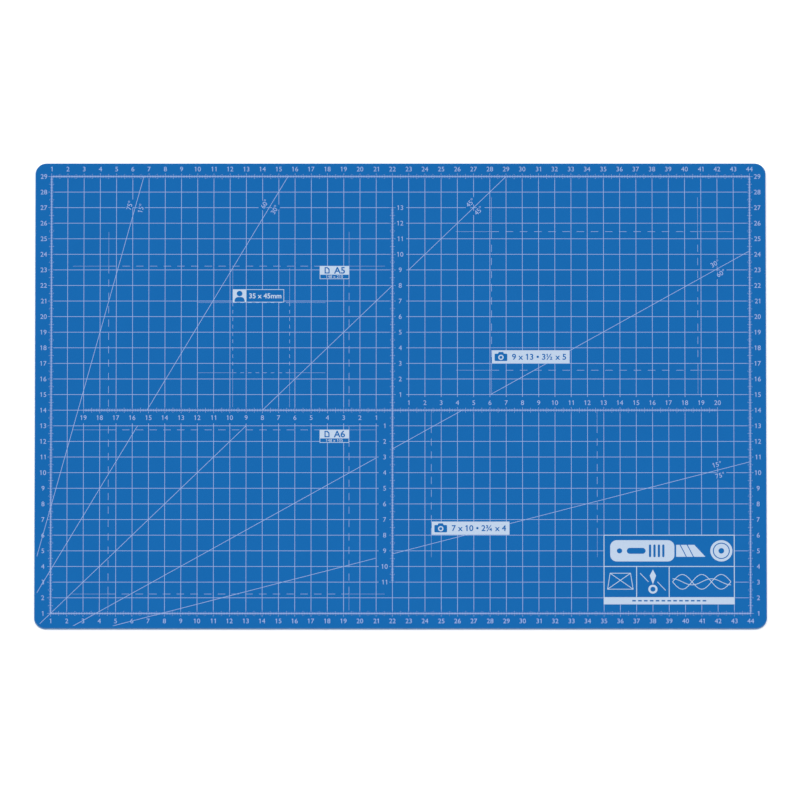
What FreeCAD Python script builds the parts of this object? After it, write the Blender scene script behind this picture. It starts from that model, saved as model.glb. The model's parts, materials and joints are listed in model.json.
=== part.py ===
import FreeCAD, Part
import math
import os
from FreeCAD import Vector

# Self-closing cutting mat: five bonded PVC sheets with a white screen print on the top one.
# Millimetres.  Origin: middle of the underside.  +X along the long side, +Y to the back, +Z up.

# Sheets, from the outside in.  The stack is the same upside down.
mat_length = 450.0
mat_depth = 298.0
corner_radius = 7.0
skin_thickness = 0.9            # soft PVC, top and bottom, the layer that closes over a cut
stiffener_thickness = 0.25      # hard PVC film that keeps the mat flat
core_thickness = 0.7            # soft PVC in the middle
edge_rounding = 0.35            # the die drags the skins' outer edges slightly round

# White print.  Every mark is an ink film of one thickness on the top skin.
ink_thickness = 0.03
edge_clearance = 1.6            # no ink comes nearer the mat's edge
pitch = 10.0                    # one centimetre grid
least_border = 8.5              # outermost grid lines stay this far in from the edge
print_shift = 0.5               # the print sits this far behind the mat's middle
least_ink_area = 0.02           # square millimetres; a smaller crumb of a cut line is left out
line_width = 0.3
thin_line = 0.24                # format outlines
faint_line = 0.14               # extension lines beyond the outlines' corners

# Ticked scales: a line with a tick for each millimetre on both sides.
scale_line = 0.45
tick_width = 0.2
millimetre_tick = 0.85          # reach of a tick from the line's middle
half_centimetre_tick = 1.5
centimetre_tick = 2.0
cross_inset = 2                 # cells between the frame and the cross scale's ends
cross_drop = 1                  # cells that the cross sits in front of the middle row

# Numerals
numeral_height = 2.9
numeral_stroke = 0.4
frame_numeral_gap = 4.8         # from a frame line to the middle of its numerals
cross_numeral_gap = 4.8
numeral_band = 8.5              # beside the cross scale, where the grid is left out

# Angle lines: degrees against X, and how far along the frame's left side each one crosses it.
# The angles under 45 mirror the ones above it, so they cross the front side as far along.
angle_crossings = {45: 0.0, 60: 27.8, 75: 68.0}
angle_label_inset = 19.5        # from the far frame line to the middle of a label pair
angle_label_gap = 3.6           # from an angle line to the middle of a label
angle_label_margin = 0.7        # grid left out around a label

# Format outlines: dashed rectangles with solid extension lines past their corners.
dash = 4.6
dash_gap = 3.9
small_dash = 2.3
small_dash_gap = 2.2
extension = 22.0
small_photo_past = 14.0         # extension of the small photo's sides

sheet_format = (148.0, 210.0)   # A5
half_sheet_format = (148.0, 105.0)
sheet_left = 35.3               # from the frame's left line
sheet_front = 12.4              # from the frame's front line
passport_format = (35.0, 45.0)
passport_left = 111.7
passport_above_cross = 24.0
large_photo_format = (127.0, 89.0)
large_photo_from_cross = (61.0, 25.6)
small_photo_format = (102.0, 70.0)
small_photo_from_cross = 23.9
small_photo_row = 5             # its front side lies on this grid row
large_photo_plate_rows = 3      # grid rows from the cross to the plate's front side

# Label plates: solid ink with the figures left out of it.
plate_height = 8.4
paper_plate_length = 18.2
paper_plate_solid = 5.6         # height of the solid part, above a ruled box
passport_plate_length = 31.6
photo_plate_length = 47.8
plate_outline = 0.35
plate_title_height = 3.9
plate_title_stroke = 0.65
plate_small_height = 1.6
plate_small_stroke = 0.22
plate_figure_height = 3.3
plate_figure_stroke = 0.34

# Information panel in the right front corner of the grid.
panel_columns = 8
panel_right_inset = 1           # cells
panel_top_row = 5
panel_split_row = 3             # rule between the large motif and the pictograms
panel_front = 5.8               # from the frame's front line
panel_line = 0.5
panel_band = 4.6                # solid strip along the panel's front
panel_cells = (2, 2)            # cells in the first two pictogram boxes; the third takes the rest
motif_share = 0.68              # of the upper box's height
pictogram_line = 0.4
thread_steps = 20               # points on each turn of a thread
round_steps = 32                # sides of a sign's circles
corner_steps = 6                # points on a sign's rounded corner
stitch_count = 13
stitch_step = 3.6
stitch_length = 2.2
stitch_width = 0.9

mat_thickness = 2 * skin_thickness + 2 * stiffener_thickness + core_thickness

columns = int((mat_length - 2 * least_border) // pitch)
rows = int((mat_depth - 2 * least_border) // pitch)
frame_left = -columns * pitch / 2
frame_right = columns * pitch / 2
frame_front = print_shift - rows * pitch / 2
frame_back = print_shift + rows * pitch / 2
cross_column = columns // 2
cross_row = rows // 2 - cross_drop


def column_x(column):
    return frame_left + column * pitch


def row_y(row):
    return frame_front + row * pitch


cross_x = column_x(cross_column)
cross_y = row_y(cross_row)
cross_left = column_x(cross_inset)
cross_right = column_x(columns - cross_inset)
cross_front = row_y(cross_inset)
cross_back = row_y(rows - cross_inset)


# Sheets

def die_cut(inset, bottom, thickness):
    """A blank with rounded corners, inset from the mat's outline."""
    length = mat_length - 2 * inset
    depth = mat_depth - 2 * inset
    blank = Part.makeBox(length, depth, thickness, Vector(-length / 2, -depth / 2, bottom))
    uprights = [edge for edge in blank.Edges if edge.BoundBox.ZLength > thickness / 2]
    return blank.makeFillet(corner_radius - inset, uprights)


def sheet(bottom, thickness, rounded=None):
    """One sheet of the laminate.  rounded is "top" or "bottom" where that outer edge is eased."""
    blank = die_cut(0.0, bottom, thickness)
    if rounded is None:
        return blank
    level = bottom + thickness if rounded == "top" else bottom
    rim = [
        edge for edge in blank.Edges
        if abs(edge.BoundBox.ZMin - level) < 1e-4 and abs(edge.BoundBox.ZMax - level) < 1e-4
    ]
    return blank.makeFillet(edge_rounding, rim)


def sheets():
    lower_stiffener_z = skin_thickness
    core_z = lower_stiffener_z + stiffener_thickness
    upper_stiffener_z = core_z + core_thickness
    top_z = upper_stiffener_z + stiffener_thickness
    return {
        "bottom_sheet": sheet(0.0, skin_thickness, "bottom"),
        "lower_stiffener": sheet(lower_stiffener_z, stiffener_thickness),
        "core_sheet": sheet(core_z, core_thickness),
        "upper_stiffener": sheet(upper_stiffener_z, stiffener_thickness),
        "top_sheet": sheet(top_z, skin_thickness, "top"),
    }


# Flat shapes of ink, drawn at z = 0 and raised to the top skin when they are saved.

def polygon(points):
    corners = [Vector(x, y, 0) for x, y in points]
    return Part.Face(Part.makePolygon(corners + corners[:1]))


def rectangle(left, front, right, back):
    return polygon([(left, front), (right, front), (right, back), (left, back)])


def joined(faces):
    if len(faces) == 1:
        return faces
    return faces[0].multiFuse(faces[1:]).removeSplitter().Faces


def without(faces, tools):
    """The faces less every tool that reaches them, with no crumbs left between."""
    kept = []
    for face in faces:
        near = [tool for tool in tools if tool.BoundBox.intersect(face.BoundBox)]
        kept += face.cut(near).Faces if near else [face]
    return [face for face in kept if face.Area > least_ink_area]


def within(faces, region):
    kept = []
    for face in faces:
        kept += face.common(region).Faces
    return kept


def side_points(points, offset, closed):
    """Points beside a path, mitred at its corners."""
    last = len(points) - 1
    result = []
    for index, (x, y) in enumerate(points):
        before = points[index - 1] if index > 0 or closed else None
        after = points[(index + 1) % len(points)] if index < last or closed else None
        normals = []
        for start, end in ((before, (x, y)), ((x, y), after)):
            if start and end:
                length = math.hypot(end[0] - start[0], end[1] - start[1])
                normals.append(((start[1] - end[1]) / length, (end[0] - start[0]) / length))
        mean_x = sum(normal[0] for normal in normals) / len(normals)
        mean_y = sum(normal[1] for normal in normals) / len(normals)
        square = mean_x * mean_x + mean_y * mean_y
        result.append((x + offset * mean_x / square, y + offset * mean_y / square))
    return result


def stroke(points, width, closed=False):
    """A line of ink along a path, as one face."""
    one_side = side_points(points, width / 2, closed)
    other_side = side_points(points, -width / 2, closed)
    if not closed:
        return polygon(one_side + other_side[::-1])
    areas = sorted((polygon(one_side), polygon(other_side)), key=lambda face: face.Area)
    return areas[1].cut(areas[0]).Faces[0]


def circle(x, y, radius):
    step = 2 * math.pi / round_steps
    return [
        (x + radius * math.cos(step * index), y + radius * math.sin(step * index))
        for index in range(round_steps)
    ]


def rounded_box(left, front, right, back, radius):
    middles = [
        (right - radius, back - radius), (left + radius, back - radius),
        (left + radius, front + radius), (right - radius, front + radius),
    ]
    points = []
    for quarter, (x, y) in enumerate(middles):
        for step in range(corner_steps + 1):
            angle = math.pi / 2 * (quarter + step / corner_steps)
            points.append((x + radius * math.cos(angle), y + radius * math.sin(angle)))
    return points


# Figures: strokes on a lattice 4 wide and 6 high.  A path whose ends meet is a closed loop.

lattice_width = 4.0
lattice_height = 6.0
round_loop = [(0, 1.2), (0, 4.8), (1.2, 6), (2.8, 6), (4, 4.8), (4, 1.2), (2.8, 0), (1.2, 0), (0, 1.2)]
lower_loop = [(0, 1.1), (0, 2.5), (1.1, 3.5), (2.9, 3.5), (4, 2.5), (4, 1.1), (2.9, 0), (1.1, 0), (0, 1.1)]
upper_hook = [(1, 3.5), (0.3, 4.2), (0.3, 5.2), (1.2, 6), (2.8, 6), (3.7, 5.2), (3.7, 4.2), (3, 3.5)]
lower_hook = [(2.9, 3.5), (4, 2.5), (4, 1.1), (2.9, 0), (1.1, 0), (0, 1)]
figures = {
    "0": [round_loop],
    "1": [[(0.9, 4.7), (2.3, 6), (2.3, 0)]],
    "2": [[(0, 4.6), (1.2, 6), (2.8, 6), (4, 4.8), (4, 3.9), (0.1, 0), (4, 0)]],
    "3": [[(0.2, 6), (3.8, 6), (1.9, 3.5)] + lower_hook],
    "4": [[(3, 0), (3, 6), (0.1, 1.6), (1.5, 1.6)], [(1.2, 1.6), (4.1, 1.6)]],
    "5": [[(3.7, 6), (0.5, 6), (0.3, 3.5)] + lower_hook],
    "6": [lower_loop, [(0, 2), (0, 3.6), (2.6, 6)]],
    "7": [[(0, 6), (4, 6), (1.3, 0)]],
    "8": [lower_loop, upper_hook],
    "9": [[(4 - x, 6 - y) for x, y in lower_loop], [(4, 4), (4, 2.4), (1.4, 0)]],
    "A": [[(0, 0), (2, 6), (4, 0)], [(0.7, 1.9), (3.3, 1.9)]],
    "x": [[(0.7, 0.6), (3.3, 3.2)], [(0.7, 3.2), (3.3, 0.6)]],
    ".": [[(1.4, 0.1), (2.4, 0.1)]],
    "-": [[(0.8, 3), (3.2, 3)]],
    "o": [[(2.5 * x / 4, 4 + 2.3 * y / 6) for x, y in round_loop]],
}
advance_share = 0.82            # of the height, from one figure to the next
narrow_shares = {" ": 0.42, ".": 0.55}
drawn_figures = {}


def figure(character, height, width):
    key = (character, height, width)
    if key not in drawn_figures:
        size = (height - width) / lattice_height
        strokes = []
        for path in figures[character]:
            points = [(x * size + width / 2, y * size + width / 2) for x, y in path]
            closed = path[0] == path[-1]
            strokes.append(stroke(points[:-1] if closed else points, width, closed))
        drawn_figures[key] = joined(strokes)
    return drawn_figures[key]


def advance(character, height):
    return narrow_shares.get(character, advance_share) * height


def text_length(text, height, width):
    body = (height - width) * lattice_width / lattice_height + width
    return sum(advance(character, height) for character in text[:-1]) + body


def lettering(text, x, y, height, width, angle=0.0):
    """Figures centred on a point and reading along the angle."""
    result = []
    along = -text_length(text, height, width) / 2
    for character in text:
        if character != " ":
            for face in figure(character, height, width):
                placed = face.copy()
                placed.translate(Vector(along, -height / 2, 0))
                placed.rotate(Vector(0, 0, 0), Vector(0, 0, 1), angle)
                placed.translate(Vector(x, y, 0))
                result.append(placed)
        along += advance(character, height)
    return result


def numeral(value, x, y):
    return lettering(str(value), x, y, numeral_height, numeral_stroke)


# Ticked scales

def tick_reach(millimetre):
    if millimetre % 10 == 0:
        return centimetre_tick
    if millimetre % 5 == 0:
        return half_centimetre_tick
    return millimetre_tick


def ticked_scale(left, front, length, upright=False):
    """A line with ticks on both sides, along +X, or along +Y if upright: a piece for each centimetre."""
    edge = scale_line / 2
    last = round(length)
    faces = []
    for first in range(0, last, 10):
        final = first + 10 == last
        start = -edge if first == 0 else first - 0.5
        end = last + edge if final else first + 9.5
        side = [(start, edge)]
        for millimetre in range(first, first + (11 if final else 10)):
            reach = tick_reach(millimetre)
            low = millimetre - tick_width / 2
            high = millimetre + tick_width / 2
            side += [(low, edge), (low, reach), (high, reach), (high, edge)]
        side.append((end, edge))
        outline = side + [(along, -across) for along, across in reversed(side)]
        if upright:
            faces.append(polygon([(left - across, front + along) for along, across in outline]))
        else:
            faces.append(polygon([(left + along, front + across) for along, across in outline]))
    return faces


def frame_scales():
    length = frame_right - frame_left
    depth = frame_back - frame_front
    front = ticked_scale(frame_left, frame_front, length)
    back = ticked_scale(frame_left, frame_back, length)
    left = ticked_scale(frame_left, frame_front, depth, upright=True)
    right = ticked_scale(frame_right, frame_front, depth, upright=True)
    return {
        "front_scale": front,
        "back_scale": back,
        "left_scale": without(left, front + back),
        "right_scale": without(right, front + back),
    }


def cross_scales():
    long_scale = ticked_scale(cross_left, cross_y, cross_right - cross_left)
    short_scale = ticked_scale(cross_x, cross_front, cross_back - cross_front, upright=True)
    return {
        "cross_long_scale": long_scale,
        "cross_short_scale": without(short_scale, long_scale),
    }


# Numerals: each is centred on its own line.

def frame_numerals():
    nodes = {"front_numerals": [], "back_numerals": [], "left_numerals": [], "right_numerals": []}
    for column in range(columns + 1):
        x = column_x(column)
        nodes["front_numerals"] += numeral(column + 1, x, frame_front - frame_numeral_gap)
        nodes["back_numerals"] += numeral(column + 1, x, frame_back + frame_numeral_gap)
    for row in range(rows + 1):
        y = row_y(row)
        nodes["left_numerals"] += numeral(row + 1, frame_left - frame_numeral_gap, y)
        nodes["right_numerals"] += numeral(row + 1, frame_right + frame_numeral_gap, y)
    return nodes


def cross_numerals():
    """They count outwards from the crossing, and go round it on one side of each arm."""
    nodes = {"cross_left_numerals": [], "cross_right_numerals": []}
    nodes["cross_front_numerals"] = []
    nodes["cross_back_numerals"] = []
    for count in range(1, cross_column - cross_inset + 1):
        x = column_x(cross_column - count)
        nodes["cross_left_numerals"] += numeral(count, x, cross_y - cross_numeral_gap)
    for count in range(1, columns - cross_inset - cross_column + 1):
        x = column_x(cross_column + count)
        nodes["cross_right_numerals"] += numeral(count, x, cross_y + cross_numeral_gap)
    for count in range(1, cross_row - cross_inset + 1):
        y = row_y(cross_row - count)
        nodes["cross_front_numerals"] += numeral(count, cross_x - cross_numeral_gap, y)
    for count in range(1, rows - cross_inset - cross_row + 1):
        y = row_y(cross_row + count)
        nodes["cross_back_numerals"] += numeral(count, cross_x + cross_numeral_gap, y)
    return nodes


def numeral_bands():
    """One cell beside each arm of the cross, which slanting lines and outlines leave free."""
    past_end = text_length("00", numeral_height, numeral_stroke) / 2 + numeral_stroke
    return [
        rectangle(cross_left - past_end, cross_y - pitch, cross_x, cross_y),
        rectangle(cross_x, cross_y, cross_right + past_end, cross_y + pitch),
        rectangle(cross_x - pitch, cross_front - past_end, cross_x, cross_y),
        rectangle(cross_x, cross_y, cross_x + pitch, cross_back + past_end),
    ]


# Angle lines and their labels

def angle_paths():
    """Degrees, and a point where the line crosses the frame's left or front side."""
    paths = {}
    for degrees, crossing in angle_crossings.items():
        paths[degrees] = (frame_left, frame_front + crossing)
        paths[90 - degrees] = (frame_left + crossing, frame_front)
    return paths


def angle_lines(obstacles):
    reach = mat_length + mat_depth
    printable = die_cut(edge_clearance, -1.0, 2.0)
    inside = rectangle(-mat_length, -mat_depth, frame_right, frame_back)
    nodes = {}
    for degrees, (x, y) in angle_paths().items():
        across = math.cos(math.radians(degrees))
        up = math.sin(math.radians(degrees))
        ends = [(x - reach * across, y - reach * up), (x + reach * across, y + reach * up)]
        line = within(within([stroke(ends, line_width)], inside), printable)
        nodes[f"angle_line_{degrees}"] = without(line, obstacles)
    return nodes


def angle_label_places():
    """Text, middle and turn of each label: two to a line, one on each side of it."""
    places = []
    for degrees, (x, y) in angle_paths().items():
        across = math.cos(math.radians(degrees))
        up = math.sin(math.radians(degrees))
        if degrees >= 45:
            along = (frame_back - angle_label_inset - y) / up
        else:
            along = (frame_right - angle_label_inset - x) / across
        middle_x = x + along * across
        middle_y = y + along * up
        for side, shown in ((1, degrees), (-1, 90 - degrees)):
            label_x = middle_x - side * angle_label_gap * up
            label_y = middle_y + side * angle_label_gap * across
            places.append((f"{shown}o", label_x, label_y, degrees))
    return places


def angle_labels():
    faces = []
    for text, x, y, degrees in angle_label_places():
        faces += lettering(text, x, y, numeral_height, numeral_stroke, degrees)
    return faces


def angle_label_clearings():
    clearings = []
    half_length = text_length("00o", numeral_height, numeral_stroke) / 2 + angle_label_margin
    half_height = numeral_height / 2 + angle_label_margin
    for _, x, y, degrees in angle_label_places():
        clearing = rectangle(-half_length, -half_height, half_length, half_height)
        clearing.rotate(Vector(0, 0, 0), Vector(0, 0, 1), degrees)
        clearing.translate(Vector(x, y, 0))
        clearings.append(clearing)
    return clearings


# Format outlines

def dashes(start, end, length, gap):
    """Dashes along a side, with one ending at each corner."""
    side = math.hypot(end[0] - start[0], end[1] - start[1])
    across = (end[0] - start[0]) / side
    up = (end[1] - start[1]) / side
    count = max(2, round((side + gap) / (length + gap)))
    step = (side - length) / (count - 1)
    faces = []
    for index in range(count):
        first = index * step
        last = first + length
        ends = [(start[0] + at * across, start[1] + at * up) for at in (first, last)]
        faces.append(stroke(ends, thin_line))
    return faces


def format_outline(left, front, size, sides, length=dash, gap=dash_gap, past=extension):
    """The named sides of a dashed rectangle, each with solid lines running on past its corners."""
    right = left + size[0]
    back = front + size[1]
    ends = {
        "left": ((left, front), (left, back)),
        "right": ((right, front), (right, back)),
        "front": ((left, front), (right, front)),
        "back": ((left, back), (right, back)),
    }
    faces = []
    for side in sides:
        start, end = ends[side]
        faces += dashes(start, end, length, gap)
        if side in ("left", "right"):
            faces.append(stroke([start, (start[0], start[1] - past)], faint_line))
            faces.append(stroke([end, (end[0], end[1] + past)], faint_line))
        else:
            faces.append(stroke([start, (start[0] - past, start[1])], faint_line))
            faces.append(stroke([end, (end[0] + past, end[1])], faint_line))
    return joined(faces)


all_sides = ("left", "right", "front", "back")
sheet_x = frame_left + sheet_left
sheet_y = frame_front + sheet_front
passport_x = frame_left + passport_left
passport_y = cross_y + passport_above_cross
large_photo_x = cross_x + large_photo_from_cross[0]
large_photo_y = cross_y + large_photo_from_cross[1]
small_photo_x = cross_x + small_photo_from_cross
small_photo_y = row_y(small_photo_row)


def format_outlines():
    """The half sheet shares three sides with the sheet; the small photo lies on grid rows."""
    return {
        "a5_outline": format_outline(sheet_x, sheet_y, sheet_format, all_sides),
        "a6_outline": format_outline(sheet_x, sheet_y, half_sheet_format, ("back",)),
        "passport_outline": format_outline(
            passport_x, passport_y, passport_format, all_sides, small_dash, small_dash_gap),
        "large_photo_outline": format_outline(
            large_photo_x, large_photo_y, large_photo_format, all_sides),
        "small_photo_outline": format_outline(
            small_photo_x, small_photo_y, small_photo_format, ("left", "right"), past=small_photo_past),
    }


# Label plates

def ruled_box(left, front, length, height):
    inset = plate_outline / 2
    corners = [
        (left + inset, front + inset),
        (left + length - inset, front + inset),
        (left + length - inset, front + height - inset),
        (left + inset, front + height - inset),
    ]
    return stroke(corners, plate_outline, closed=True)


def paper_plate(name, width_by_depth, right, back):
    """A paper format's plate: its name left out of solid ink, over its size in a ruled box."""
    left = right - paper_plate_length
    front = back - plate_height
    middle = (left + right) / 2
    solid_front = back - paper_plate_solid
    solid = rectangle(left, solid_front, right, back)
    title = lettering(name, middle, (solid_front + back) / 2, plate_title_height, plate_title_stroke)
    box = ruled_box(left, front, paper_plate_length, plate_height - paper_plate_solid)
    box_middle = (front + solid_front) / 2
    size = lettering(width_by_depth, middle, box_middle, plate_small_height, plate_small_stroke)
    return joined(without([solid], title) + [box]) + size


def portrait(x, y, height):
    """Head and shoulders, standing on y."""
    head = polygon(circle(x, y + 0.76 * height, 0.24 * height))
    shoulders = polygon([
        (x - 0.42 * height, y),
        (x + 0.42 * height, y),
        (x + 0.42 * height, y + 0.2 * height),
        (x + 0.22 * height, y + 0.42 * height),
        (x - 0.22 * height, y + 0.42 * height),
        (x - 0.42 * height, y + 0.2 * height),
    ])
    return [head, shoulders]


def camera(x, y, length):
    """A camera body with its hump, round a lens that stays inked."""
    half = length / 2
    height = 0.62 * length
    body = polygon([
        (x - half, y),
        (x + half, y),
        (x + half, y + height),
        (x + 0.45 * half, y + height),
        (x + 0.3 * half, y + 1.3 * height),
        (x - 0.3 * half, y + 1.3 * height),
        (x - 0.45 * half, y + height),
        (x - half, y + height),
    ])
    lens = polygon(circle(x, y + 0.42 * height, 0.26 * length))
    return without([body], [lens])


def passport_plate():
    """Stands on the passport outline's back side, from its left corner."""
    left = passport_x
    front = passport_y + passport_format[1] + thin_line / 2
    inked = rectangle(left, front, left + plate_height, front + plate_height)
    figure_height = 0.72 * plate_height
    person = portrait(left + plate_height / 2, front + 0.12 * plate_height, figure_height)
    box = ruled_box(left, front, passport_plate_length, plate_height)
    text_x = left + (plate_height + passport_plate_length) / 2
    size = lettering("35 x 45", text_x, front + plate_height / 2, plate_figure_height, numeral_stroke)
    return joined(without([inked], person) + [box]) + size


def photo_plate(text, left, front):
    plate = rectangle(left, front, left + photo_plate_length, front + plate_height)
    sign_length = 0.93 * plate_height
    sign_x = left + 0.65 * plate_height
    cut_out = camera(sign_x, front + 0.2 * plate_height, sign_length)
    text_x = left + (1.2 * plate_height + photo_plate_length) / 2
    cut_out += lettering(text, text_x, front + plate_height / 2, plate_figure_height, plate_figure_stroke)
    return without([plate], cut_out)


def label_plates():
    sheet_right = sheet_x + sheet_format[0] + thin_line / 2
    return {
        "a5_plate": paper_plate(
            "A5", "148 x 210", sheet_right, sheet_y + sheet_format[1] + thin_line / 2),
        "a6_plate": paper_plate(
            "A6", "148 x 105", sheet_right, sheet_y + half_sheet_format[1] + thin_line / 2),
        "passport_plate": passport_plate(),
        "large_photo_plate": photo_plate(
            "9 x 13 - 3.5 x 5", large_photo_x + thin_line, row_y(cross_row + large_photo_plate_rows)),
        "small_photo_plate": photo_plate(
            "7 x 10 - 2.8 x 4", small_photo_x + thin_line, small_photo_y + line_width),
    }


# Information panel

panel_left = column_x(columns - panel_right_inset - panel_columns)
panel_right = column_x(columns - panel_right_inset)
panel_front_y = frame_front + panel_front
panel_top_y = row_y(panel_top_row)
panel_split_y = row_y(panel_split_row)
panel_band_y = panel_front_y + panel_band


def panel_rules():
    """Outline, rules and the solid band in one piece, with a row of stitches left out of it."""
    half = panel_line / 2
    solid = rectangle(panel_left - half, panel_front_y, panel_right + half, panel_top_y + half)
    boxes = [rectangle(
        panel_left + half, panel_split_y + half, panel_right - half, panel_top_y - half)]
    box_left = panel_left
    for cells in panel_cells + (panel_columns - sum(panel_cells),):
        box_right = box_left + cells * pitch
        boxes.append(rectangle(
            box_left + half, panel_band_y, box_right - half, panel_split_y - half))
        box_left = box_right
    middle_x = (panel_left + panel_right) / 2
    middle_y = (panel_front_y + panel_band_y) / 2
    for index in range(stitch_count):
        x = middle_x + (index - (stitch_count - 1) / 2) * stitch_step
        boxes.append(rectangle(
            x - stitch_length / 2, middle_y - stitch_width / 2,
            x + stitch_length / 2, middle_y + stitch_width / 2))
    return without([solid], boxes)


def panel_motif():
    """A craft knife and a round blade, in solid ink, filling the panel's upper box."""
    height = motif_share * (panel_top_y - panel_split_y)
    front = (panel_top_y + panel_split_y - height) / 2
    back = front + height
    left = panel_left + 0.28 * height
    neck = left + 2.9 * height
    handle = polygon(rounded_box(left, front, neck, back, 0.3 * height))
    openings = [
        polygon(rounded_box(x, front + 0.2 * height, x + 0.1 * height, back - 0.2 * height, 0.05 * height))
        for x in [left + share * height for share in (1.75, 1.95, 2.15, 2.35)]
    ]
    openings.append(polygon(circle(left + 0.42 * height, front + height / 2, 0.12 * height)))
    slot_front = front + 0.36 * height
    slot_back = back - 0.36 * height
    openings.append(polygon(rounded_box(
        left + 0.75 * height, slot_front, left + 1.6 * height, slot_back, 0.14 * height)))
    blade = polygon([
        (neck + 0.08 * height, front + 0.22 * height),
        (neck + 1.4 * height, front + 0.22 * height),
        (neck + 0.9 * height, back - 0.22 * height),
        (neck + 0.08 * height, back - 0.22 * height),
    ])
    snap_lines = [
        stroke([(x + 0.25 * height, front), (x - 0.25 * height, back)], 0.04 * height)
        for x in [neck + share * height for share in (0.4, 0.72)]
    ]
    wheel_x = left + 5.02 * height
    wheel_y = front + height / 2
    wheel = polygon(circle(wheel_x, wheel_y, height / 2))
    groove = stroke(circle(wheel_x, wheel_y, 0.36 * height), 0.045 * height, closed=True)
    hub = polygon(circle(wheel_x, wheel_y, 0.13 * height))
    return without([handle], openings) + without([blade], snap_lines) + without([wheel], [groove, hub])


def thread(left, middle, length, swing, turns, phase):
    """A wavy line."""
    count = int(thread_steps * turns)
    points = []
    for index in range(count + 1):
        share = index / count
        y = middle + swing * math.sin(2 * math.pi * turns * share + phase)
        points.append((left + share * length, y))
    return stroke(points, pictogram_line)


def panel_pictograms():
    """A sheet ruled corner to corner, a blade over a ring, and two crossing threads."""
    floor = panel_band_y
    height = panel_split_y - floor
    middle_y = (floor + panel_split_y) / 2
    first_x = panel_left + panel_cells[0] * pitch / 2
    second_x = panel_left + (panel_cells[0] + panel_cells[1] / 2) * pitch
    third_left = panel_left + (panel_cells[0] + panel_cells[1]) * pitch
    reach = 0.4 * height
    sheet_corners = [
        (first_x - reach, middle_y - 0.6 * reach),
        (first_x + reach, middle_y - 0.6 * reach),
        (first_x + 0.8 * reach, middle_y + 0.7 * reach),
        (first_x - 0.8 * reach, middle_y + 0.7 * reach),
    ]
    faces = [stroke(sheet_corners, pictogram_line, closed=True)]
    for start, end in ((0, 2), (1, 3)):
        diagonal = stroke([sheet_corners[start], sheet_corners[end]], pictogram_line)
        faces += without([diagonal], faces)
    blade = polygon([
        (second_x, middle_y - 0.2 * reach),
        (second_x + 0.25 * reach, middle_y + 0.5 * reach),
        (second_x, middle_y + reach),
        (second_x - 0.25 * reach, middle_y + 0.5 * reach),
    ])
    ring = stroke(circle(second_x, middle_y - 0.6 * reach, 0.28 * reach), 0.16 * reach, closed=True)
    faces += [blade, ring]
    faces.append(stroke(
        [(second_x - reach, middle_y + 0.7 * reach), (second_x - 0.35 * reach, middle_y)], pictogram_line))
    faces.append(stroke(
        [(second_x + 0.35 * reach, middle_y), (second_x + reach, middle_y - 0.7 * reach)], pictogram_line))
    third_length = panel_right - third_left - 2 * panel_line - 0.4 * reach
    thread_left = third_left + panel_line + 0.2 * reach
    threads = []
    for swing, turns, phase in ((0.6, 1.5, 0), (0.6, 1.5, math.pi), (0.25, 1.5, math.pi / 2)):
        strand = thread(thread_left, middle_y, third_length, swing * reach, turns, phase)
        threads += without([strand], threads)
    faces += threads
    return faces


# Grid

def blank_stretch(index, cross_index, last_index, cross_at, arm_start, arm_end):
    """The stretch that a grid line leaves to the cross scale and its numerals, if any."""
    if index == cross_index:
        return (arm_start - scale_line / 2, arm_end + scale_line / 2)
    if index < cross_inset or index > last_index - cross_inset:
        return None
    if index < cross_index:
        return (cross_at - numeral_band, cross_at + centimetre_tick)
    return (cross_at - centimetre_tick, cross_at + numeral_band)


def inked_spans(low, high, blank):
    start = low + centimetre_tick
    end = high - centimetre_tick
    if blank is None:
        return [(start, end)]
    return [(start, blank[0]), (blank[1], end)]


def grid_uprights():
    """Each upright grid line's middle and the spans where it is inked."""
    uprights = []
    for column in range(1, columns):
        blank = blank_stretch(column, cross_column, columns, cross_y, cross_front, cross_back)
        uprights.append((column_x(column), inked_spans(frame_front, frame_back, blank)))
    return uprights


def comb(left, right, front, teeth):
    """A grid row's line with uprights standing on it: each tooth is its middle and where it ends."""
    half = line_width / 2
    back = front + line_width
    outline = [(left, back), (left, front), (right, front), (right, back)]
    for x, reach in reversed(teeth):
        outline += [(x + half, back), (x + half, reach), (x - half, reach), (x - half, back)]
    return polygon(outline)


def grid_strips():
    """The lattice in strips, each a grid row's line with the uprights from it to the next row."""
    half = line_width / 2
    uprights = grid_uprights()
    strips = []
    for row in range(rows):
        low = row_y(row) - half
        high = row_y(row + 1) - half
        blank = blank_stretch(row, cross_row, rows, cross_x, cross_left, cross_right)
        line_spans = inked_spans(frame_left, frame_right, blank) if row > 0 else []
        teeth = []
        for x, spans in uprights:
            on_line = any(left < x < right for left, right in line_spans)
            for start, end in spans:
                bottom = max(start, low)
                top = min(end, high)
                if top > bottom and on_line and bottom == low:
                    teeth.append((x, top))
                elif top > bottom:
                    strips.append(rectangle(x - half, bottom, x + half, top))
        for left, right in line_spans:
            strips.append(comb(left, right, low, [tooth for tooth in teeth if left < tooth[0] < right]))
    return strips


# The print as a whole: what is drawn first stays whole, and what comes later is cut back to it.

def footprint(faces):
    box = Part.makeCompound(faces).BoundBox
    return rectangle(box.XMin, box.YMin, box.XMax, box.YMax)


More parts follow.
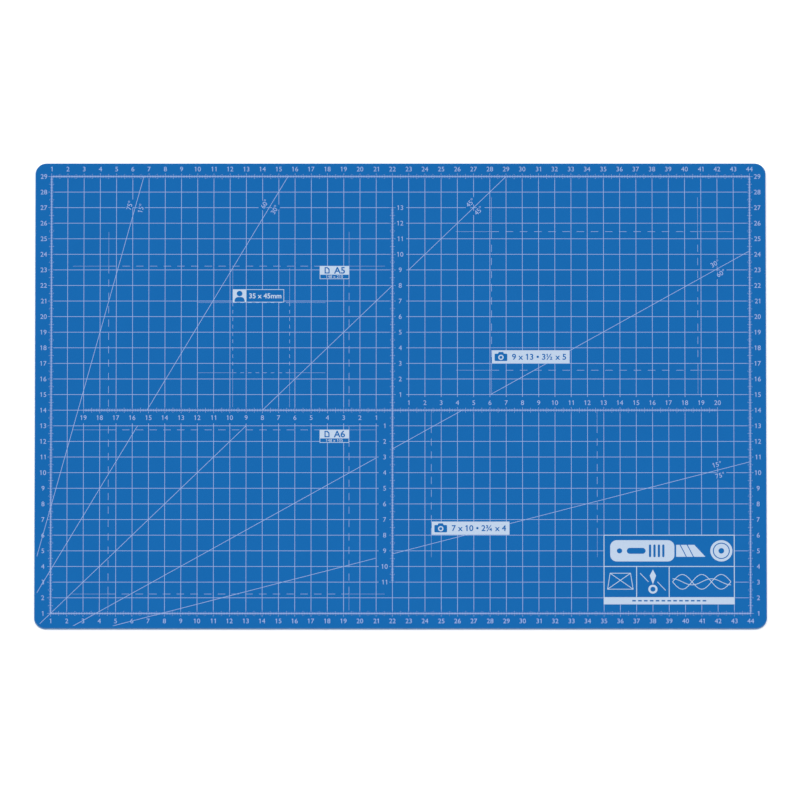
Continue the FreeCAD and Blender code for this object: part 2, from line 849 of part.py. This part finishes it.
def inks():
    plates = label_plates()
    panel = {
        "panel_rules": panel_rules(),
        "panel_motif": panel_motif(),
        "panel_pictograms": panel_pictograms(),
    }
    clearings = [footprint(faces) for faces in plates.values()]
    clearings.append(footprint(panel["panel_rules"]))
    bands = numeral_bands()
    nodes = angle_lines(bands + clearings)
    slanting = [face for faces in nodes.values() for face in faces]
    for group in (plates, panel):
        nodes.update(group)
    scales = {**frame_scales(), **cross_scales()}
    numerals = {**frame_numerals(), **cross_numerals()}
    for group in (scales, numerals):
        for name, faces in group.items():
            nodes[name] = without(faces, slanting)
    measures = [face for group in (scales, numerals) for faces in group.values() for face in faces]
    nodes["angle_labels"] = without(angle_labels(), slanting + measures)
    clearings += angle_label_clearings()
    inside = rectangle(
        frame_left + centimetre_tick, frame_front + centimetre_tick,
        frame_right - centimetre_tick, frame_back - centimetre_tick)
    cross = [face for name in ("cross_long_scale", "cross_short_scale") for face in scales[name]]
    taken = slanting + clearings + bands + cross
    outlined = []
    for name, faces in format_outlines().items():
        nodes[name] = without(within(faces, inside), taken + outlined)
        outlined += nodes[name]
    nodes["centimetre_grid"] = without(grid_strips(), slanting + clearings + outlined)
    return nodes


def film(faces):
    solids = [face.extrude(Vector(0, 0, ink_thickness)) for face in faces]
    film_shape = Part.makeCompound(solids)
    film_shape.translate(Vector(0, 0, mat_thickness))
    return film_shape


def build():
    os.makedirs("parts", exist_ok=True)
    for name, shape in sheets().items():
        shape.exportStep(f"parts/{name}.step")
    for name, faces in inks().items():
        film(faces).exportStep(f"parts/{name}.step")


build()
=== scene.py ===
# Self-closing cutting mat: five bonded PVC sheets under a white screen print.
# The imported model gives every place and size. This script gives the finishes, the eased die-cut edges
# and smooth figures. Metres, +X along the mat, +Y to its back, +Z up.
import json
import math

import bmesh
import bpy
from mathutils import Matrix, Vector
from mathutils.geometry import interpolate_bezier

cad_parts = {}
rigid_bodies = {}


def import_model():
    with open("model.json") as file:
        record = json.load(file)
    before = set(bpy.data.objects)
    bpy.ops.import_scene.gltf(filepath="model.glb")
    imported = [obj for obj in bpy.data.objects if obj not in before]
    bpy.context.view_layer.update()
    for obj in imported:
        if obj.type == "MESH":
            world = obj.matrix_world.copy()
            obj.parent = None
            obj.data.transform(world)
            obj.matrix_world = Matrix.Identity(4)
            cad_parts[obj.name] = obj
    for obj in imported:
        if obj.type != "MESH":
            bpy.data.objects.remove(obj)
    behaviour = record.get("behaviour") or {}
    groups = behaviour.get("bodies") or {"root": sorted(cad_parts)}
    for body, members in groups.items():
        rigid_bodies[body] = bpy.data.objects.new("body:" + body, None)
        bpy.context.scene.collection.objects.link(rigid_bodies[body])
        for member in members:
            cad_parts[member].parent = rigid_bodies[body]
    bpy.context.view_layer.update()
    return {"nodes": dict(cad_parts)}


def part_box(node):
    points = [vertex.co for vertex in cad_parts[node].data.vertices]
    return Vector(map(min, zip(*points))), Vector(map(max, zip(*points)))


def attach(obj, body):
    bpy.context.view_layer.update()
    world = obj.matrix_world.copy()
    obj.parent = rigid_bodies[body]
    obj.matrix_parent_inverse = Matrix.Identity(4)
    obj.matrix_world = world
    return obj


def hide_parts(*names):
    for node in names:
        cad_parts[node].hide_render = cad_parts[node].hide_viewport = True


for thing in list(bpy.data.objects):
    bpy.data.objects.remove(thing, do_unlink=True)

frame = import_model()
print("frame loaded:", len(frame["nodes"]), "nodes")


# Finishes. Noise is laid out in metres on the object, so a grain keeps its real size on every piece.

def plainFinish(name, look):
    material = bpy.data.materials.new(name)
    material.use_nodes = True
    shader = material.node_tree.nodes["Principled BSDF"]
    shader.inputs["Base Color"].default_value = (*look["colour"], 1)
    shader.inputs["Roughness"].default_value = look["roughness"]
    shader.inputs["Specular IOR Level"].default_value = look["specular"]
    return material, shader


softDetail = 2
roughDetail = 3


def grain(material, size, detail=softDetail, stretch=(1, 1, 1)):
    nodes = material.node_tree.nodes
    links = material.node_tree.links
    place = nodes.new("ShaderNodeTexCoord")
    mapping = nodes.new("ShaderNodeMapping")
    mapping.inputs["Scale"].default_value = [1 / (size * share) for share in stretch]
    noise = nodes.new("ShaderNodeTexNoise")
    noise.inputs["Scale"].default_value = 1
    noise.inputs["Detail"].default_value = detail
    links.new(place.outputs["Object"], mapping.inputs["Vector"])
    links.new(mapping.outputs["Vector"], noise.inputs["Vector"])
    return noise.outputs["Fac"]


def spread(material, value, low, high, start=0.3, end=0.7):
    span = material.node_tree.nodes.new("ShaderNodeMapRange")
    span.inputs["From Min"].default_value = start
    span.inputs["From Max"].default_value = end
    span.inputs["To Min"].default_value = low
    span.inputs["To Max"].default_value = high
    material.node_tree.links.new(value, span.inputs["Value"])
    return span.outputs["Result"]


def blended(material, share, first, second):
    mix = material.node_tree.nodes.new("ShaderNodeMix")
    mix.data_type = "RGBA"
    material.node_tree.links.new(share, mix.inputs["Factor"])
    for socket, colour in ((mix.inputs[6], first), (mix.inputs[7], second)):
        if isinstance(colour, bpy.types.NodeSocket):
            material.node_tree.links.new(colour, socket)
        else:
            socket.default_value = (*colour, 1)
    return mix.outputs[2]


def raised(material, shader, layers):
    # layers: height socket, depth in metres
    normal = None
    for height, depth in layers:
        bump = material.node_tree.nodes.new("ShaderNodeBump")
        bump.inputs["Strength"].default_value = 1
        bump.inputs["Distance"].default_value = depth
        material.node_tree.links.new(height, bump.inputs["Height"])
        if normal is not None:
            material.node_tree.links.new(normal, bump.inputs["Normal"])
        normal = bump.outputs["Normal"]
    material.node_tree.links.new(normal, shader.inputs["Normal"])


softPvcLook = {
    "colour": (0.0014, 0.121, 0.390),
    "deepColour": (0.0008, 0.114, 0.374),
    "roughness": 0.55,
    "roughnessSpread": (0.50, 0.62),
    "specular": 0.09,
    "blotch": 0.045,          # slow change of tone from the calender
    "pebble": 0.0006,         # matt embossing of the cutting face
    "pebbleDepth": 0.00004,
    "grain": 0.00016,
    "grainDepth": 0.000012,
    "speckColour": (0.0040, 0.138, 0.420),
    "speckShare": 0.5,
    "speckRange": (0.45, 0.75),   # of the grain's own values, from no speck to a full one
}


def softPvcFinish():
    look = softPvcLook
    material, shader = plainFinish("softPvc", look)
    links = material.node_tree.links
    pebble = grain(material, look["pebble"])
    fine = grain(material, look["grain"])
    blotch = spread(material, grain(material, look["blotch"], roughDetail), 0, 1)
    calendered = blended(material, blotch, look["colour"], look["deepColour"])
    specks = spread(material, fine, 0, look["speckShare"], *look["speckRange"])
    links.new(blended(material, specks, calendered, look["speckColour"]), shader.inputs["Base Color"])
    links.new(spread(material, pebble, *look["roughnessSpread"]), shader.inputs["Roughness"])
    raised(material, shader, [(pebble, look["pebbleDepth"]), (fine, look["grainDepth"])])
    return material


inkLooks = {
    # solid areas, and thin lines and figures, where the screen lets less ink through
    "solidInk": {
        "colour": (0.480, 0.585, 0.735),
        "thinColour": (0.360, 0.480, 0.670),
        "mesh": 0.00022,
        "pinholes": (0.28, 0.40),
    },
    "lineInk": {
        "colour": (0.340, 0.435, 0.720),
        "thinColour": (0.230, 0.340, 0.640),
        "mesh": 0.00016,
        "pinholes": (0.34, 0.50),
    },
}
inkSurface = {
    "roughness": 0.46,
    "roughnessSpread": (0.40, 0.54),
    "specular": 0.3,
    "squeegee": 0.03,             # slow change of density along the squeegee's stroke
    "squeegeeStretch": (4, 1, 1),
    "squeegeeShare": 0.25,
    "depth": 0.000004,
    "filled": 0.5,                # of the embossing's depth that still shows through the ink
}


def inkFinish(name):
    look = {**inkSurface, **inkLooks[name]}
    material, shader = plainFinish(name, look)
    links = material.node_tree.links
    mesh = grain(material, look["mesh"])
    pinholes = spread(material, mesh, 1, 0, *look["pinholes"])
    stroke = grain(material, look["squeegee"], stretch=look["squeegeeStretch"])
    thinning = spread(material, stroke, 0, look["squeegeeShare"])
    even = blended(material, thinning, look["colour"], look["thinColour"])
    links.new(blended(material, pinholes, even, look["thinColour"]), shader.inputs["Base Color"])
    links.new(spread(material, mesh, *look["roughnessSpread"]), shader.inputs["Roughness"])
    raised(material, shader, [
        (grain(material, softPvcLook["pebble"]), softPvcLook["pebbleDepth"] * look["filled"]),
        (mesh, look["depth"]),
    ])
    return material


cutLooks = {
    "cutSkin": {"colour": (0.020, 0.130, 0.360), "lineColour": (0.045, 0.175, 0.42)},
    "cutStiffener": {"colour": (0.50, 0.59, 0.72), "lineColour": (0.62, 0.69, 0.80)},
    "cutCore": {"colour": (0.13, 0.25, 0.46), "lineColour": (0.19, 0.32, 0.53)},
}
dieMarks = {
    "roughness": 0.68,
    "specular": 0.12,
    "width": 0.00022,         # upright marks left by the cutting die
    "height": 0.004,
    "depth": 0.000014,
    "tearing": 0.0006,
    "tearingDepth": 0.00001,
}


def cutFinish(name):
    look = {**dieMarks, **cutLooks[name]}
    material, shader = plainFinish(name, look)
    upright = grain(material, look["width"], roughDetail, (1, 1, look["height"] / look["width"]))
    shade = spread(material, upright, 0, 1)
    mixed = blended(material, shade, look["colour"], look["lineColour"])
    material.node_tree.links.new(mixed, shader.inputs["Base Color"])
    raised(material, shader, [
        (upright, look["depth"]),
        (grain(material, look["tearing"], roughDetail), look["tearingDepth"]),
    ])
    return material


softPvc = softPvcFinish()
solidInk, lineInk = inkFinish("solidInk"), inkFinish("lineInk")
cutFinishes = {name: cutFinish(name) for name in cutLooks}
print("finishes made")


# Sheets, each as rings of points from its underside to its upper face

sheetShape = {
    "cornerRadius": 0.007,
    "cornerSteps": 28,
    "easing": 0.00035,        # outer edges of the two skins, dragged round by the die
    "easingSteps": 7,
    "seam": 0.00003,          # the sheets' edges are eased this much where they are bonded
    "sideStep": 0.0125,
}
sheetNodes = {
    "bottom_sheet": ("skinBottom", "cutSkin", "bottom"),
    "lower_stiffener": ("stiffenerLower", "cutStiffener", None),
    "core_sheet": ("core", "cutCore", None),
    "upper_stiffener": ("stiffenerUpper", "cutStiffener", None),
    "top_sheet": ("skinTop", "cutSkin", "top"),
}


def sheetOutline(low, high, inset):
    shape = sheetShape
    radius = shape["cornerRadius"] - inset
    left, front = low.x + inset, low.y + inset
    right, back = high.x - inset, high.y - inset
    corners = (
        (right - radius, front + radius, -90),
        (right - radius, back - radius, 0),
        (left + radius, back - radius, 90),
        (left + radius, front + radius, 180),
    )
    sideSteps = round((high.x - low.x) / shape["sideStep"])
    points = []
    for index, (x, y, startAngle) in enumerate(corners):
        for step in range(shape["cornerSteps"] + 1):
            angle = math.radians(startAngle + 90 * step / shape["cornerSteps"])
            points.append(Vector((x + radius * math.cos(angle), y + radius * math.sin(angle), 0)))
        nextX, nextY, nextAngle = corners[(index + 1) % len(corners)]
        angle = math.radians(nextAngle)
        sideStart = points[-1].copy()
        sideEnd = Vector((nextX + radius * math.cos(angle), nextY + radius * math.sin(angle), 0))
        points += [sideStart.lerp(sideEnd, step / sideSteps) for step in range(1, sideSteps)]
    return points


def sheetProfile(bottom, top, eased):
    # inset and height of each ring, from the underside up
    shape = sheetShape
    easing, steps, seam = shape["easing"], shape["easingSteps"], shape["seam"]
    quarter = [math.radians(90 * step / steps) for step in range(steps + 1)]
    if eased == "bottom":
        rings = [
            (easing * (1 - math.sin(angle)), bottom + easing * (1 - math.cos(angle)))
            for angle in quarter
        ]
    else:
        rings = [(seam, bottom), (0, bottom + seam)]
    if eased == "top":
        rings += [
            (easing * (1 - math.cos(angle)), top - easing * (1 - math.sin(angle)))
            for angle in quarter
        ]
    else:
        rings += [(0, top - seam), (seam, top)]
    return rings


def buildSheet(node, name, cutName, eased):
    low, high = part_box(node)
    mesh = bpy.data.meshes.new(name)
    shell = bmesh.new()
    rings = []
    for inset, height in sheetProfile(low.z, high.z, eased):
        outline = sheetOutline(low, high, inset)
        rings.append([shell.verts.new((point.x, point.y, height)) for point in outline])
    for lower, upper in zip(rings, rings[1:]):
        for index in range(len(lower)):
            after = (index + 1) % len(lower)
            side = shell.faces.new((lower[index], lower[after], upper[after], upper[index]))
            side.material_index = 1
            side.smooth = True
    shell.faces.new(rings[-1])
    shell.faces.new(rings[0][::-1])
    shell.to_mesh(mesh)
    shell.free()
    piece = bpy.data.objects.new(name, mesh)
    bpy.context.scene.collection.objects.link(piece)
    face = softPvc if eased else cutFinishes[cutName]
    mesh.materials.append(face)
    mesh.materials.append(cutFinishes[cutName])
    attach(piece, "root")
    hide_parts(node)


for node, (name, cutName, eased) in sheetNodes.items():
    buildSheet(node, name, cutName, eased)
print("sheets built")


# Print. Loops of points, filled where an odd number of them overlap, become films on the top skin.

film = {
    "thickness": 0.00003,
    "figureLift": 0.000004,       # figures are printed over the lines that they meet
    "figureSteps": 5,             # points on each curved stretch of a figure
    "straight": 1e-5,             # a stretch whose handles stray less than this is straight
    "mergeGap": 1e-7,
}
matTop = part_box("top_sheet")[1].z
drawnLoops = {}

oneFlag = {
    # shares of the figure's height
    "barWidth": 0.25,             # at most; the built-in figure one is a bare upright bar
    "reach": 0.17,
    "drop": 0.15,
    "thickness": 0.12,
    "root": 0.18,
}


def withFlag(loop):
    # a bar gets the flag of a figure one, and any other loop stays as it is
    left, right = min(point.x for point in loop), max(point.x for point in loop)
    bottom, top = min(point.y for point in loop), max(point.y for point in loop)
    tall = top - bottom
    if len(loop) != 4 or right - left > tall * oneFlag["barWidth"]:
        return loop
    tip = left - tall * oneFlag["reach"]
    tipTop = top - tall * oneFlag["drop"]
    tipBottom = tipTop - tall * oneFlag["thickness"]
    root = top - tall * oneFlag["root"]
    return [
        Vector((right, top)), Vector((left, top)), Vector((tip, tipTop)), Vector((tip, tipBottom)),
        Vector((left, root)), Vector((left, bottom)), Vector((right, bottom)),
    ]


def letteringLoops(text):
    # the outlines of a text, from the built-in face
    if text in drawnLoops:
        return drawnLoops[text]
    bpy.ops.object.select_all(action="DESELECT")
    data = bpy.data.curves.new("lettering", "FONT")
    data.body = text
    lettering = bpy.data.objects.new("lettering", data)
    bpy.context.scene.collection.objects.link(lettering)
    bpy.context.view_layer.objects.active = lettering
    lettering.select_set(True)
    bpy.ops.object.convert(target="CURVE")
    loops = []
    for spline in lettering.data.splines:
        knots = list(spline.bezier_points)
        points = []
        for knot, after in zip(knots, knots[1:] + knots[:1]):
            run = after.co - knot.co
            leaving = (knot.handle_right - knot.co).cross(run).length
            arriving = (after.handle_left - knot.co).cross(run).length
            steps = film["figureSteps"] if leaving + arriving > film["straight"] else 1
            points += interpolate_bezier(
                knot.co, knot.handle_right, after.handle_left, after.co, steps + 1)[:-1]
        loops.append(withFlag([Vector(point.xy) for point in points]))
    curve = lettering.data
    bpy.data.objects.remove(lettering)
    bpy.data.curves.remove(curve)
    drawnLoops[text] = loops
    return loops


unitHeight = max(point.y for loop in letteringLoops("1") for point in loop)


heavierLimits = {
    "turnBack": 0.3,              # a corner that turns back more sharply follows its second side
    "miter": 0.5,
}


def heavier(loop, weight):
    # the outlines run opposite ways round ink and round gaps, so one sideways step thickens both
    moved = []
    for before, point, after in zip(loop[-1:] + loop[:-1], loop, loop[1:] + loop[:1]):
        arriving, leaving = (point - before).normalized(), (after - point).normalized()
        along = arriving + leaving
        if along.length < heavierLimits["turnBack"]:
            along = leaving
        side = Vector((along.y, -along.x)).normalized()
        squareness = max(heavierLimits["miter"], side.dot(Vector((leaving.y, -leaving.x))))
        moved.append(point + side * weight / squareness)
    return moved


def placedFigures(text, x, y, height, turn=0.0, weight=0.0):
    # figures of that height, centred on a point and reading along the turn
    loops = [heavier(loop, weight * unitHeight) for loop in letteringLoops(text)]
    left = min(point.x for loop in loops for point in loop)
    right = max(point.x for loop in loops for point in loop)
    centre = Vector(((left + right) / 2, unitHeight / 2))
    place = Matrix.Rotation(turn, 2) * (height / unitHeight)
    return [[Vector((x, y)) + place @ (point - centre) for point in loop] for loop in loops]


def printFilm(name, node, loops, ink, lift=0.0):
    data = bpy.data.curves.new(name, "CURVE")
    data.dimensions = "2D"
    data.fill_mode = "BOTH"
    data.extrude = (film["thickness"] + lift) / 2
    for loop in loops:
        spline = data.splines.new("POLY")
        spline.points.add(len(loop) - 1)
        for point, place in zip(spline.points, loop):
            point.co = (place.x, place.y, 0, 1)
        spline.use_cyclic_u = True
    drawn = bpy.data.objects.new(name + "Drawn", data)
    bpy.context.scene.collection.objects.link(drawn)
    graph = bpy.context.evaluated_depsgraph_get()
    mesh = bpy.data.meshes.new_from_object(drawn.evaluated_get(graph))
    bpy.data.objects.remove(drawn)
    shell = bmesh.new()
    shell.from_mesh(mesh)
    bmesh.ops.remove_doubles(shell, verts=shell.verts, dist=film["mergeGap"])
    bmesh.ops.translate(shell, verts=shell.verts, vec=(0, 0, matTop + data.extrude))
    shell.to_mesh(mesh)
    shell.free()
    bpy.data.curves.remove(data)
    mesh.name = name
    mesh.materials.clear()
    mesh.materials.append(ink)
    piece = bpy.data.objects.new(name, mesh)
    bpy.context.scene.collection.objects.link(piece)
    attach(piece, "root")
    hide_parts(node)


def middleOf(node):
    low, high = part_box(node)
    return (low + high) / 2


pitch = 0.01                      # from one centimetre line to the next
frameLeft = middleOf("left_scale").x
frameRight = middleOf("right_scale").x
frameFront = middleOf("front_scale").y
frameBack = middleOf("back_scale").y
columns = round((frameRight - frameLeft) / pitch)
rows = round((frameBack - frameFront) / pitch)
crossX = middleOf("cross_short_scale").x
crossY = middleOf("cross_long_scale").y
crossLow = Vector((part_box("cross_long_scale")[0].x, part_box("cross_short_scale")[0].y))
crossHigh = Vector((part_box("cross_long_scale")[1].x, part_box("cross_short_scale")[1].y))

numeralShape = {
    "height": 0.0029,
    "gap": 0.0048,            # from a scale's middle to the middle of its figures
}


def printRow(name, node, start, way, steps):
    # the figures 1, 2, 3 and on, each that many centimetre steps from the start
    loops = []
    for figure, step in enumerate(steps, 1):
        x = start[0] + step * pitch * way[0]
        y = start[1] + step * pitch * way[1]
        loops += placedFigures(str(figure), x, y, numeralShape["height"])
    printFilm(name, node, loops, lineInk, film["figureLift"])


def printFrameNumerals():
    # a frame scale counts its first line as 1
    gap = numeralShape["gap"]
    along, up = range(columns + 1), range(rows + 1)
    printRow("numeralsFront", "front_numerals", (frameLeft, frameFront - gap), (1, 0), along)
    printRow("numeralsBack", "back_numerals", (frameLeft, frameBack + gap), (1, 0), along)
    printRow("numeralsLeft", "left_numerals", (frameLeft - gap, frameFront), (0, 1), up)
    printRow("numeralsRight", "right_numerals", (frameRight + gap, frameFront), (0, 1), up)


def armSteps(reach):
    return range(1, int(reach / pitch) + 1)


def printCrossNumerals():
    # a cross scale counts outward from where the two cross
    gap = numeralShape["gap"]
    arms = {
        "Left": ((crossX, crossY - gap), (-1, 0), crossX - crossLow.x),
        "Right": ((crossX, crossY + gap), (1, 0), crossHigh.x - crossX),
        "Front": ((crossX - gap, crossY), (0, -1), crossY - crossLow.y),
        "Back": ((crossX + gap, crossY), (0, 1), crossHigh.y - crossY),
    }
    for side, (start, way, reach) in arms.items():
        printRow("crossNumerals" + side, f"cross_{side.lower()}_numerals", start, way, armSteps(reach))


printFrameNumerals()
printCrossNumerals()
print("numerals printed")


angleLabels = {
    "crossings": {45: 0.0, 60: 0.0278, 75: 0.068},   # along the frame's left side, or front under 45
    "diagonal": 45,
    "inset": 0.0195,
    "gap": 0.0036,
    "height": 0.0029,
}


def printAngleLabels():
    look = angleLabels
    lines = []
    for degrees, crossing in look["crossings"].items():
        lines.append((degrees, frameLeft, frameFront + crossing))
        if degrees != look["diagonal"]:
            lines.append((90 - degrees, frameLeft + crossing, frameFront))
    loops = []
    for degrees, x, y in lines:
        turn = math.radians(degrees)
        across, up = math.cos(turn), math.sin(turn)
        if degrees >= look["diagonal"]:
            along = (frameBack - look["inset"] - y) / up
        else:
            along = (frameRight - look["inset"] - x) / across
        for side, shown in ((1, degrees), (-1, 90 - degrees)):
            labelX = x + along * across - side * look["gap"] * up
            labelY = y + along * up + side * look["gap"] * across
            loops += placedFigures(f"{shown}°", labelX, labelY, look["height"], turn)
    printFilm("angleLabels", "angle_labels", loops, lineInk, film["figureLift"])


printAngleLabels()
print("angle labels printed")


# Label plates: solid ink with signs and figures left out of it

def boxLoop(left, front, right, back):
    return [Vector((left, front)), Vector((right, front)), Vector((right, back)), Vector((left, back))]


def ringLoop(x, y, radius, count=40):
    turns = [2 * math.pi * index / count for index in range(count)]
    return [Vector((x + radius * math.cos(turn), y + radius * math.sin(turn))) for turn in turns]


def roundedLoop(left, front, right, back, radii, count=8):
    # radii: front left, front right, back right, back left
    corners = (
        (left, front, 1, 1, 180, radii[0]), (right, front, -1, 1, 270, radii[1]),
        (right, back, -1, -1, 0, radii[2]), (left, back, 1, -1, 90, radii[3]),
    )
    points = []
    for x, y, inX, inY, start, radius in corners:
        for step in range(count + 1):
            turn = math.radians(start + 90 * step / count)
            points.append(Vector((
                x + inX * radius + radius * math.cos(turn), y + inY * radius + radius * math.sin(turn))))
    return points


plates = {
    "rule": 0.00035,
    "solidShare": 0.667,          # of a paper plate's height
    "titleHeight": 0.0040,
    "sizeHeight": 0.0018,
    "figureHeight": 0.0036,
    "passportHeight": 0.0030,
    "titleWeight": 0.032,         # added on each side of a stroke, as a share of the height
    "figureWeight": 0.028,
}
pageSign = {
    "width": 0.0031,
    "height": 0.0041,
    "fold": 0.0012,
    "rule": 0.0007,
    "left": 0.0030,               # from the plate's left side
    "foldInset": 0.4,             # the folded corner moves in this much of what the sides do
}


def pageLoops(left, middle):
    # a sheet of paper with one corner folded, as an outline and its inside
    loops = []
    for inset in (0, pageSign["rule"]):
        front = middle - pageSign["height"] / 2 + inset
        back = middle + pageSign["height"] / 2 - inset
        right = left + pageSign["width"] - inset
        fold = pageSign["fold"] - inset * pageSign["foldInset"]
        loops.append([
            Vector((left + inset, front)), Vector((right, front)), Vector((right, back - fold)),
            Vector((right - fold, back)), Vector((left + inset, back)),
        ])
    return loops


def printPaperPlate(name, node, title, size):
    low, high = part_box(node)
    rule = plates["rule"]
    solidFront = high.y - (high.y - low.y) * plates["solidShare"]
    middle = (low.x + high.x) / 2
    titleY = (solidFront + high.y) / 2
    titleX = (low.x + pageSign["left"] + pageSign["width"] + high.x) / 2
    loops = [boxLoop(low.x, low.y, high.x, high.y)]
    loops.append(boxLoop(low.x + rule, low.y + rule, high.x - rule, solidFront))
    loops += pageLoops(low.x + pageSign["left"], titleY)
    loops += placedFigures(title, titleX, titleY, plates["titleHeight"], weight=plates["titleWeight"])
    loops += placedFigures(size, middle, (low.y + rule + solidFront) / 2, plates["sizeHeight"])
    printFilm(name, node, loops, solidInk)


portrait = {
    "share": 0.84,                # of the plate's height
    "headShare": 0.25,            # the rest are shares of the figure's own height
    "shoulderShare": 0.44,
    "bustShare": 0.44,
    "shoulderRound": 0.75,        # of half the shoulders' width
    "shoulderSteps": 10,
}


def portraitLoops(x, floor, height):
    head = ringLoop(x, floor + height * (1 - portrait["headShare"]), height * portrait["headShare"])
    half = height * portrait["shoulderShare"]
    radius = half * portrait["shoulderRound"]
    bustTop = floor + height * portrait["bustShare"]
    bust = roundedLoop(
        x - half, floor, x + half, bustTop, (0, 0, radius, radius), portrait["shoulderSteps"])
    return [head, bust]


def printPassportPlate():
    low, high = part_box("passport_plate")
    rule = plates["rule"]
    height = high.y - low.y
    signRight = low.x + height
    loops = [boxLoop(low.x, low.y, high.x, high.y)]
    loops.append(boxLoop(signRight, low.y + rule, high.x - rule, high.y - rule))
    loops += portraitLoops(low.x + height / 2, low.y + rule, height * portrait["share"])
    loops += placedFigures(
        "35 x 45mm", (signRight + high.x) / 2, (low.y + high.y) / 2, plates["passportHeight"],
        weight=plates["figureWeight"])
    printFilm("passportPlate", "passport_plate", loops, solidInk)


cameraSign = {
    "length": 0.93,               # shares of the plate's height
    "height": 0.56,
    "hump": 0.13,
    "lens": 0.2,
    "glass": 0.11,
    "corner": 0.07,
    "cornerSteps": 6,
    "middle": 0.66,               # from the plate's left side
    "floor": 0.18,
    "room": 1.22,                 # from the plate's left side to where the figures may start
    "humpFoot": 0.48,             # of half the length
    "humpTop": 0.34,
    "lensHeight": 0.5,            # of the body's height
}


def cameraLoops(x, floor, unit):
    sign = cameraSign
    half = unit * sign["length"] / 2
    top = floor + unit * sign["height"]
    hump = top + unit * sign["hump"]
    corner = unit * sign["corner"]
    foot, brow = half * sign["humpFoot"], half * sign["humpTop"]
    body = roundedLoop(x - half, floor, x + half, top, (corner,) * 4, sign["cornerSteps"])
    topRight = max(range(len(body)), key=lambda index: (body[index].y, body[index].x))
    rise = [
        Vector((x + foot, top)), Vector((x + brow, hump)),
        Vector((x - brow, hump)), Vector((x - foot, top)),
    ]
    outline = body[:topRight + 1] + rise + body[topRight + 1:]
    middle = floor + unit * sign["height"] * sign["lensHeight"]
    lens = ringLoop(x, middle, unit * sign["lens"])
    glass = ringLoop(x, middle, unit * sign["glass"])
    return [outline, lens, glass]


def printPhotoPlate(name, node, text):
    low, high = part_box(node)
    height = high.y - low.y
    loops = [boxLoop(low.x, low.y, high.x, high.y)]
    signX = low.x + height * cameraSign["middle"]
    textX = (low.x + height * cameraSign["room"] + high.x) / 2
    loops += cameraLoops(signX, low.y + height * cameraSign["floor"], height)
    loops += placedFigures(
        text, textX, (low.y + high.y) / 2, plates["figureHeight"], weight=plates["figureWeight"])
    printFilm(name, node, loops, solidInk)


printPaperPlate("sheetPlate", "a5_plate", "A5", "148 x 210")
printPaperPlate("halfSheetPlate", "a6_plate", "A6", "148 x 105")
printPassportPlate()
printPhotoPlate("largePhotoPlate", "large_photo_plate", "9 x 13 • 3½ x 5")
printPhotoPlate("smallPhotoPlate", "small_photo_plate", "7 x 10 • 2¾ x 4")
print("label plates printed")


# The straight-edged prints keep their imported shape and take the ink's finish

linePrints = [name for name in frame["nodes"] if name.endswith(("_scale", "_outline"))]
linePrints += [name for name in frame["nodes"] if name.startswith("angle_line_")]
linePrints.append("centimetre_grid")
solidPrints = [name for name in frame["nodes"] if name.startswith("panel_")]
for names, ink in ((linePrints, lineInk), (solidPrints, solidInk)):
    for name in names:
        for slot in bpy.data.objects[name].material_slots:
            slot.material = ink
print("ink laid on", len(linePrints) + len(solidPrints), "kept prints")


# Studio: a plain pale floor under soft even light

studio = {
    "floorSize": 12.0,
    "floorDrop": 0.00002,
    "floorLook": {"colour": (0.90, 0.90, 0.90), "roughness": 0.9, "specular": 0.0},
    "floorGlow": 0.3,             # the sweep is lit from below too, so it stays white round the mat
    "skyStrength": 0.38,
    "suns": (
        # azimuth, height, strength, softness, all angles in degrees
        (-105, 58, 1.55, 60),
        (100, 55, 1.25, 60),
    ),
}


def buildStudio():
    half = studio["floorSize"] / 2
    mesh = bpy.data.meshes.new("floor")
    corners = [(-half, -half), (half, -half), (half, half), (-half, half)]
    mesh.from_pydata([(x, y, -studio["floorDrop"]) for x, y in corners], [], [(0, 1, 2, 3)])
    floor = bpy.data.objects.new("floor", mesh)
    bpy.context.scene.collection.objects.link(floor)
    material, shader = plainFinish("paleFloor", studio["floorLook"])
    shader.inputs["Emission Color"].default_value = (1, 1, 1, 1)
    shader.inputs["Emission Strength"].default_value = studio["floorGlow"]
    mesh.materials.append(material)
    world = bpy.data.worlds.new("studio")
    world.use_nodes = True
    world.node_tree.nodes["Background"].inputs["Color"].default_value = (1, 1, 1, 1)
    world.node_tree.nodes["Background"].inputs["Strength"].default_value = studio["skyStrength"]
    bpy.context.scene.world = world
    for index, (azimuth, height, strength, softness) in enumerate(studio["suns"]):
        data = bpy.data.lights.new(f"softLight{index}", "SUN")
        data.energy = strength
        data.angle = math.radians(softness)
        light = bpy.data.objects.new(f"softLight{index}", data)
        light.rotation_euler = (math.radians(90 - height), 0, math.radians(azimuth))
        bpy.context.scene.collection.objects.link(light)


view = {
    "elevation": 73.74,
    "width": 0.49215,             # across the picture, at the mat
    "lens": 1500,
    "sensor": 36,
    "aim": (-0.00034, -0.00297, 0.003),
    "nearest": 0.1,               # what is drawn, as shares of the camera's distance
    "farthest": 3,
}


def placeCamera():
    data = bpy.data.cameras.new("camera")
    data.lens = view["lens"]
    data.sensor_width = view["sensor"]
    distance = view["width"] * view["lens"] / view["sensor"]
    data.clip_start = distance * view["nearest"]
    data.clip_end = distance * view["farthest"]
    camera = bpy.data.objects.new("camera", data)
    tilt = math.radians(view["elevation"])
    away = Vector((0, -math.cos(tilt), math.sin(tilt)))
    camera.location = Vector(view["aim"]) + away * distance
    camera.rotation_euler = (math.pi / 2 - tilt, 0, 0)
    bpy.context.scene.collection.objects.link(camera)
    bpy.context.scene.camera = camera


buildStudio()
placeCamera()
bpy.context.scene.view_settings.view_transform = "Standard"
print("studio and camera set")
